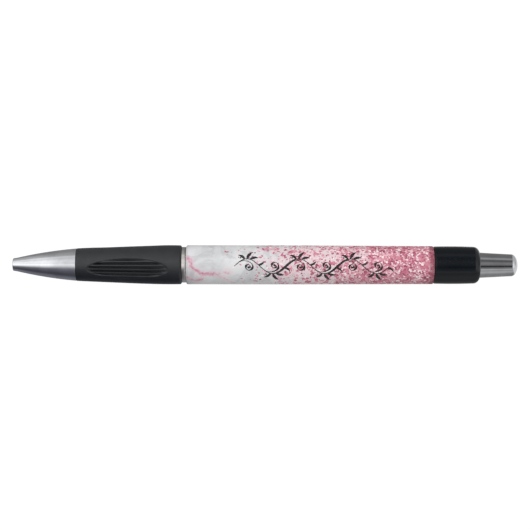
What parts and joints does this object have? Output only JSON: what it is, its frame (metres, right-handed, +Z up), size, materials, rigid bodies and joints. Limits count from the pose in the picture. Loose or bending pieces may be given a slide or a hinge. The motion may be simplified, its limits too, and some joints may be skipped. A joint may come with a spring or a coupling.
{
  "type": "retractable gel pen",
  "caption": "Click pen with a metal nose cone, ribbed rubber grip, printed barrel, gloss cap with pocket clip, metal push button and a gel refill on a return spring.",
  "frame": {"origin": "on the axis of the pen, in the straight round stretch of the barrel where a holder grips it", "axes": "+X along the pen towards the push button, -X towards the point; +Z up as the pen lies on a table on its barrel and on the edge of its pocket clip; the clip points to +Y and about 30 degrees downwards"},
  "size_m": [0.142, 0.013, 0.011],
  "materials": {
    "nose_cone": "polished",
    "grip_core": "moulded",
    "rubber_grip": "matte",
    "trim_ring": "satin",
    "barrel_tube": "gloss",
    "printed_sleeve": "printed, marble to rose glitter",
    "end_cap": "high gloss",
    "pocket_clip": "polished",
    "cam_guide": "moulded",
    "cam_rotor": "moulded",
    "cam_plunger": "moulded",
    "push_button": "polished",
    "writing_ball": "polished",
    "point_tip": "turned",
    "tip_spring": "drawn wire",
    "point_holder": "translucent",
    "refill_tube": "clear",
    "gel_ink": "wet",
    "grease_follower": "clear",
    "tail_plug": "moulded",
    "return_spring": "drawn wire"
  },
  "bodies": {
    "barrel": {"barrel_tube": "barrel_tube", "printed_sleeve": "printed_sleeve", "grip_core": "grip_core", "rubber_grip": "rubber_grip", "trim_ring": "trim_ring", "end_cap": "end_cap", "pocket_clip": "pocket_clip", "cam_guide": "cam_guide", "return_spring": "return_spring"},
    "nose": {"nose_cone": "nose_cone"},
    "button": {"push_button": "push_button", "cam_plunger": "cam_plunger"},
    "rotor": {"cam_rotor": "cam_rotor"},
    "refill": {"refill_tube": "refill_tube", "gel_ink": "gel_ink", "grease_follower": "grease_follower", "tail_plug": "tail_plug", "point_holder": "point_holder", "point_tip": "point_tip", "writing_ball": "writing_ball", "tip_spring": "tip_spring"}
  },
  "joints": [
    {"name": "button_press", "type": "slide", "parent": "barrel", "child": "button", "axis": [-1, 0, 0], "range_m": [0, 0.006], "stiffness_N_per_m": 400, "springref_m": -0.0025},
    {"name": "rotor_push", "type": "slide", "parent": "barrel", "child": "rotor", "axis": [-1, 0, 0], "range_m": [0, 0.006]},
    {"name": "refill_extend", "type": "slide", "parent": "barrel", "child": "refill", "axis": [-1, 0, 0], "range_m": [0, 0.006], "deforming": ["return_spring"]},
    {"name": "nose_cone_off", "type": "slide", "parent": "barrel", "child": "nose", "axis": [-1, 0, 0], "range_m": [0, 0.03]}
  ],
  "couplings": [
    {"joint": "rotor_push", "follows": "button_press", "ratio": 1},
    {"joint": "refill_extend", "follows": "button_press", "ratio": 1}
  ]
}
